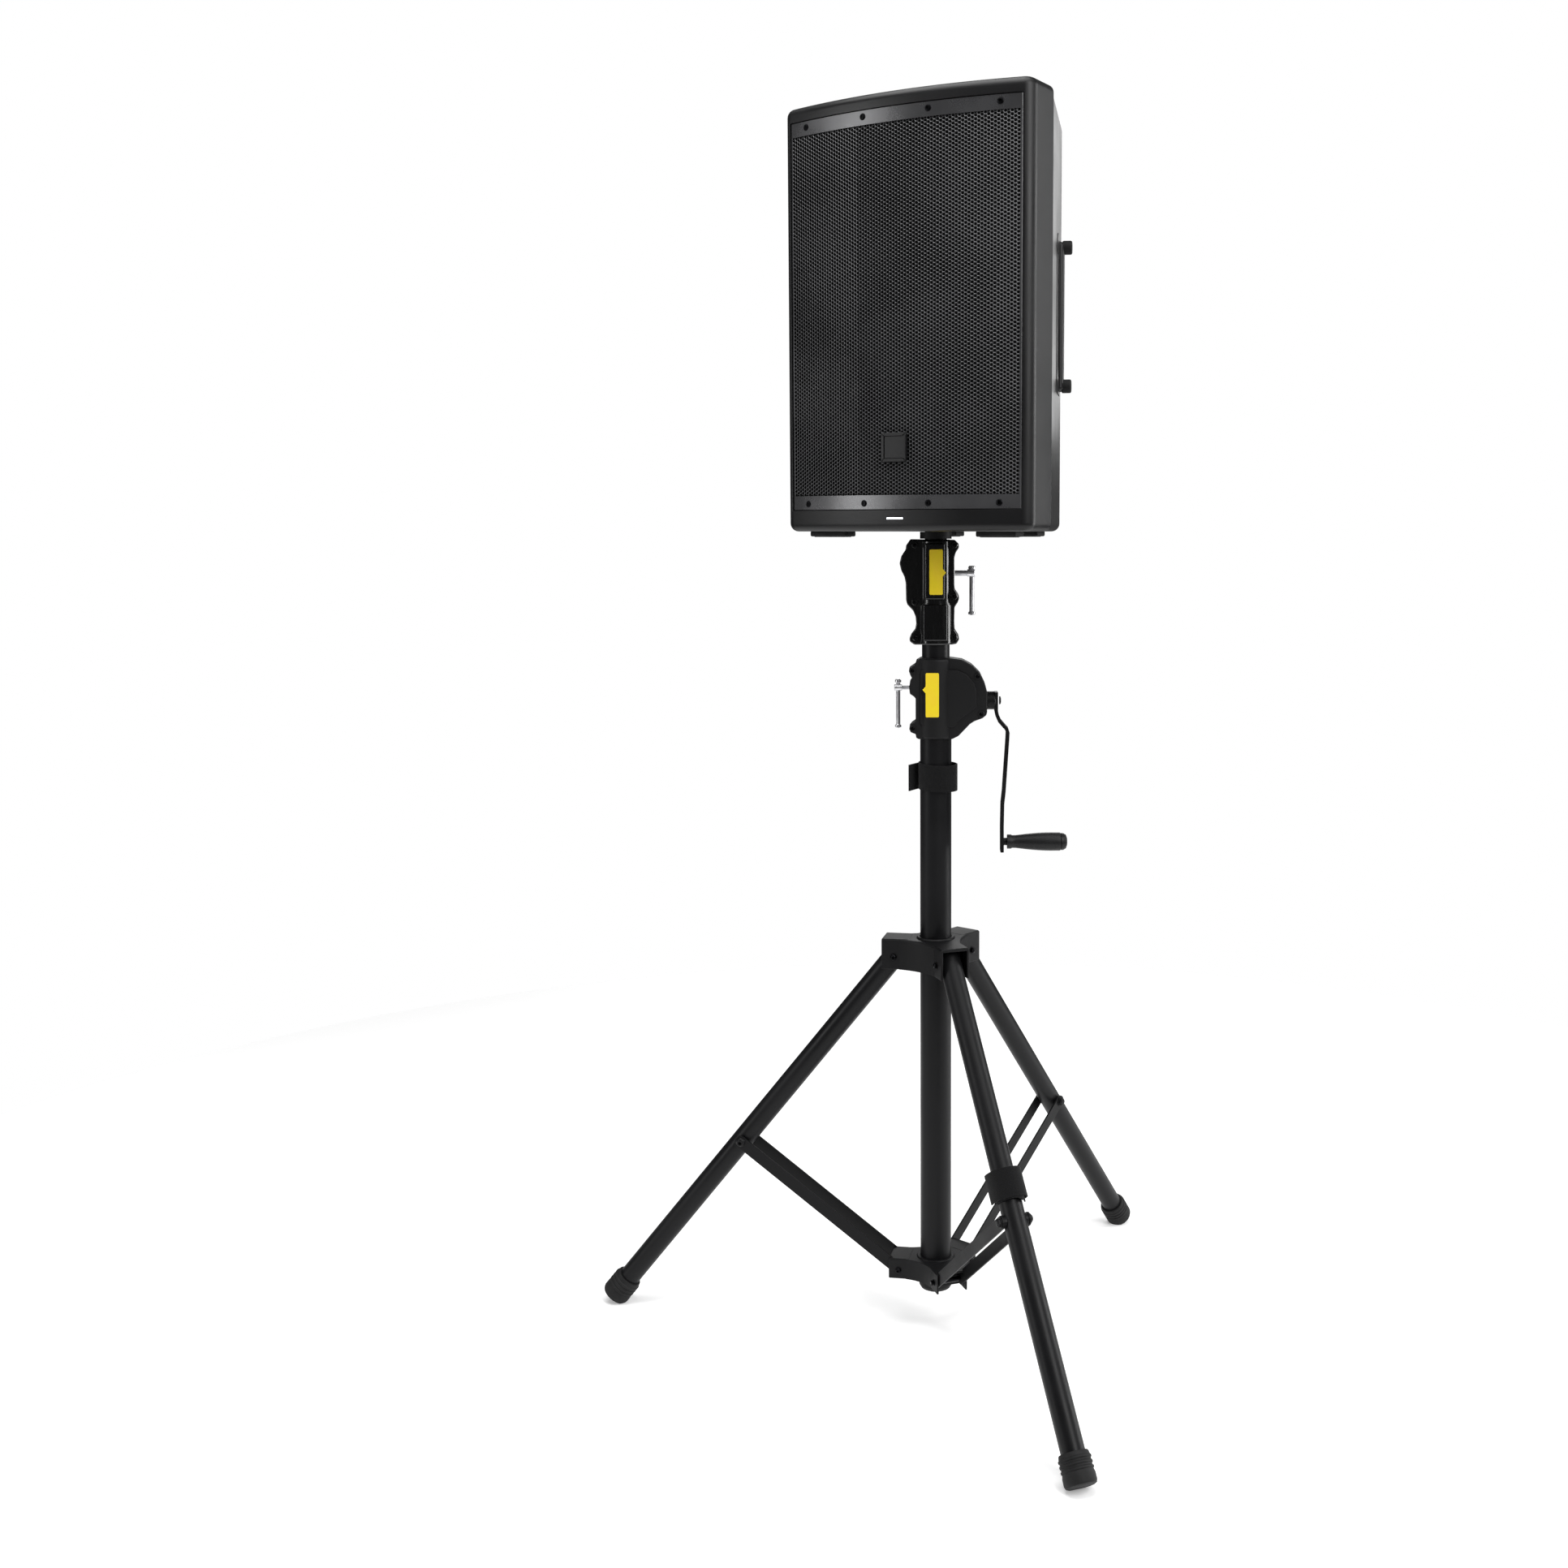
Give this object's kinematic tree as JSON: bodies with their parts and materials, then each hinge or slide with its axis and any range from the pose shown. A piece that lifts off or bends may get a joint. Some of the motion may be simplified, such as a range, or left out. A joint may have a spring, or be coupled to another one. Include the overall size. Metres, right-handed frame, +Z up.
{
  "type": "pa speaker on wind-up stand",
  "caption": "Active two-way PA speaker with bowed grille, standing on a wind-up tripod stand with crank, sliding clamp and folding legs.",
  "frame": {"origin": "middle of the footprint on the floor, at the base of the box that bounds the whole unit", "axes": "+Z up, the speaker faces -Y, +X to the right of someone behind it looking the way it faces"},
  "size_m": [0.9783, 0.9272, 1.955],
  "materials": {
    "label_print": "plain yellow printed label",
    "grille_cloth": "black acoustic cloth",
    "tube_paint": "satin black powder coat",
    "bracket_paint": "satin black powder coat",
    "black_screws": "black zinc",
    "soft_rubber": "matte moulded rubber",
    "strap_webbing": "black hook-and-loop webbing",
    "winch_plastic": "fine-textured black nylon",
    "clamp_plastic": "glossy black nylon",
    "gear_steel": "zinc-plated steel",
    "bright_chrome": "bright nickel",
    "grip_plastic": "satin black plastic",
    "cabinet_plastic": "satin black moulded plastic",
    "grille_paint": "black powder coat over perforated steel",
    "light_diffuser": "lit white diffuser",
    "driver_frame": "black stamped steel",
    "surround_rubber": "matte rubber roll",
    "cone_paper": "treated black paper",
    "magnet_iron": "bare ferrite and plated steel",
    "horn_plastic": "satin black plastic",
    "amp_alloy": "plain extruded aluminium",
    "panel_paint": "black fine-texture paint",
    "jack_plastic": "black moulded plastic",
    "knob_plastic": "dark grey plastic"
  },
  "bodies": {
    "mast": {"mast_tube": "tube_paint", "mast_end_cap": "soft_rubber", "spreader_hub": "bracket_paint", "spreader_bolts": "black_screws", "mast_strap": "strap_webbing", "winch_case_front": "winch_plastic", "winch_case_rear": "winch_plastic", "winch_screws": "black_screws"},
    "winch_drum": {"winch_drum": "gear_steel"},
    "crank": {"crank_shaft": "bracket_paint", "crank_arm": "bracket_paint"},
    "crank_grip": {"crank_grip": "grip_plastic"},
    "lower_screw": {"lower_clamp_screw": "bright_chrome"},
    "lower_bar": {"lower_tommy_bar": "bright_chrome"},
    "hub": {"leg_hub": "bracket_paint", "leg_bolts": "black_screws"},
    "hub_knob": {"hub_lock_knob": "winch_plastic"},
    "front_leg": {"front_leg": "tube_paint", "front_foot": "soft_rubber", "leg_strap": "strap_webbing"},
    "rear_leg": {"rear_leg": "tube_paint", "rear_foot": "soft_rubber"},
    "left_leg": {"left_leg": "tube_paint", "left_foot": "soft_rubber"},
    "front_strut": {"front_strut": "bracket_paint"},
    "rear_strut": {"rear_strut": "bracket_paint"},
    "left_strut": {"left_strut": "bracket_paint"},
    "mid_tube": {"mid_tube": "tube_paint", "lift_plug": "winch_plastic", "clamp_case_front": "clamp_plastic", "clamp_case_rear": "clamp_plastic", "clamp_screws": "black_screws"},
    "upper_screw": {"upper_clamp_screw": "bright_chrome"},
    "upper_bar": {"upper_tommy_bar": "bright_chrome"},
    "top_pole": {"top_pole": "tube_paint"},
    "pole_ring": {"pole_ring": "winch_plastic"},
    "speaker": {"front_shell": "cabinet_plastic", "rear_shell": "cabinet_plastic", "shell_screws": "black_screws", "grille": "grille_paint", "grille_screws": "black_screws", "badge": "cabinet_plastic", "power_light": "light_diffuser", "woofer_basket": "driver_frame", "woofer_surround": "surround_rubber", "woofer_magnet": "magnet_iron", "horn": "horn_plastic", "compression_driver": "magnet_iron", "amp_board": "amp_alloy", "amp_panel": "panel_paint", "input_jacks": "jack_plastic", "right_handle": "grip_plastic", "left_handle": "grip_plastic", "rubber_feet": "soft_rubber", "pole_socket": "grip_plastic", "rigging_inserts": "gear_steel"},
    "woofer_cone": {"woofer_cone": "cone_paper"},
    "level_one": {"level_knob_one": "knob_plastic"},
    "level_two": {"level_knob_two": "knob_plastic"},
    "switch": {"power_switch": "knob_plastic"}
  },
  "joints": [
    {"name": "lift_slide", "type": "slide", "parent": "mast", "child": "mid_tube", "axis": [0, 0, 1], "range_m": [0, 0.5]},
    {"name": "drum_turn", "type": "hinge", "parent": "mast", "child": "winch_drum", "pos_m": [0.0853, -0.072, 1.0591], "axis": [0.866, 0.5, 0], "range_deg": [-1, 2390]},
    {"name": "crank_turn", "type": "hinge", "parent": "mast", "child": "crank", "pos_m": [0.09396, -0.067, 1.032], "axis": [0.866, 0.5, 0], "range_deg": [-4777, 1]},
    {"name": "grip_spin", "type": "hinge", "parent": "crank", "child": "crank_grip", "pos_m": [0.1719, -0.022, 0.804], "axis": [0.866, 0.5, 0], "continuous": true},
    {"name": "lower_screw_turn", "type": "hinge", "parent": "mast", "child": "lower_screw", "pos_m": [-0.0013, -0.122, 1.0525], "axis": [0.866, 0.5, 0], "range_deg": [0, 360]},
    {"name": "lower_bar_slide", "type": "slide", "parent": "lower_screw", "child": "lower_bar", "axis": [0, 0, 1], "range_m": [0, 0.052]},
    {"name": "hub_slide", "type": "slide", "parent": "mast", "child": "hub", "axis": [0, 0, 1], "range_m": [0, 0.218]},
    {"name": "hub_knob_turn", "type": "hinge", "parent": "hub", "child": "hub_knob", "pos_m": [0.00314, -0.06553, 0.618], "axis": [-0.7771, 0.6293, 0], "range_deg": [0, 360]},
    {"name": "front_leg_fold", "type": "hinge", "parent": "hub", "child": "front_leg", "pos_m": [0.09251, -0.13791, 0.618], "axis": [0.6293, 0.7771, 0], "range_deg": [-0.5, 34.2]},
    {"name": "front_strut_fold", "type": "hinge", "parent": "front_leg", "child": "front_strut", "pos_m": [0.29271, -0.30002, 0.29646], "axis": [-0.6293, -0.7771, 0], "range_deg": [-0.5, 79.75]},
    {"name": "rear_leg_fold", "type": "hinge", "parent": "hub", "child": "rear_leg", "pos_m": [0.05217, -0.0328, 0.618], "axis": [-0.9877, 0.1564, 0], "range_deg": [-0.5, 34.2]},
    {"name": "rear_strut_fold", "type": "hinge", "parent": "rear_leg", "child": "rear_strut", "pos_m": [0.09247, 0.22163, 0.29646], "axis": [0.9877, -0.1564, 0], "range_deg": [-0.5, 79.75]},
    {"name": "left_leg_fold", "type": "hinge", "parent": "hub", "child": "left_leg", "pos_m": [-0.01868, -0.12029, 0.618], "axis": [0.3584, -0.9336, 0], "range_deg": [-0.5, 34.2]},
    {"name": "left_strut_fold", "type": "hinge", "parent": "left_leg", "child": "left_strut", "pos_m": [-0.25917, -0.21261, 0.29646], "axis": [-0.3584, 0.9336, 0], "range_deg": [-0.5, 79.75]},
    {"name": "upper_screw_turn", "type": "hinge", "parent": "mid_tube", "child": "upper_screw", "pos_m": [0.0853, -0.072, 1.2345], "axis": [0.866, 0.5, 0], "range_deg": [0, 120]},
    {"name": "upper_bar_slide", "type": "slide", "parent": "upper_screw", "child": "upper_bar", "axis": [0, 0, 1], "range_m": [0, 0.052]},
    {"name": "pole_slide", "type": "slide", "parent": "mid_tube", "child": "top_pole", "axis": [0, 0, 1], "range_m": [0, 0.4]},
    {"name": "speaker_swivel", "type": "hinge", "parent": "top_pole", "child": "pole_ring", "pos_m": [0.042, -0.097, 1.294], "axis": [0, 0, 1], "continuous": true},
    {"name": "speaker_lift_off", "type": "slide", "parent": "pole_ring", "child": "speaker", "axis": [0, 0, 1], "range_m": [0, 0.12]},
    {"name": "cone_travel", "type": "slide", "parent": "speaker", "child": "woofer_cone", "axis": [0, -1, 0], "range_m": [-0.006, 0.006], "stiffness_N_per_m": 3000},
    {"name": "level_one_turn", "type": "hinge", "parent": "speaker", "child": "level_one", "pos_m": [0.022, 0.108, 1.496], "axis": [0, 1, 0], "range_deg": [-150, 150]},
    {"name": "level_two_turn", "type": "hinge", "parent": "speaker", "child": "level_two", "pos_m": [0.07, 0.108, 1.496], "axis": [0, 1, 0], "range_deg": [-150, 150]},
    {"name": "power_switch_rock", "type": "hinge", "parent": "speaker", "child": "switch", "pos_m": [0.01, 0.102, 1.384], "axis": [1, 0, 0], "range_deg": [0, 16]}
  ],
  "couplings": [
    {"joint": "drum_turn", "follows": "lift_slide", "rad_per_m": 83.333},
    {"joint": "crank_turn", "follows": "lift_slide", "rad_per_m": -166.67},
    {"joint": "front_leg_fold", "follows": "hub_slide", "rad_per_m": 2.698},
    {"joint": "front_strut_fold", "follows": "hub_slide", "rad_per_m": 6.3447},
    {"joint": "rear_leg_fold", "follows": "hub_slide", "rad_per_m": 2.698},
    {"joint": "rear_strut_fold", "follows": "hub_slide", "rad_per_m": 6.3447},
    {"joint": "left_leg_fold", "follows": "hub_slide", "rad_per_m": 2.698},
    {"joint": "left_strut_fold", "follows": "hub_slide", "rad_per_m": 6.3447}
  ]
}
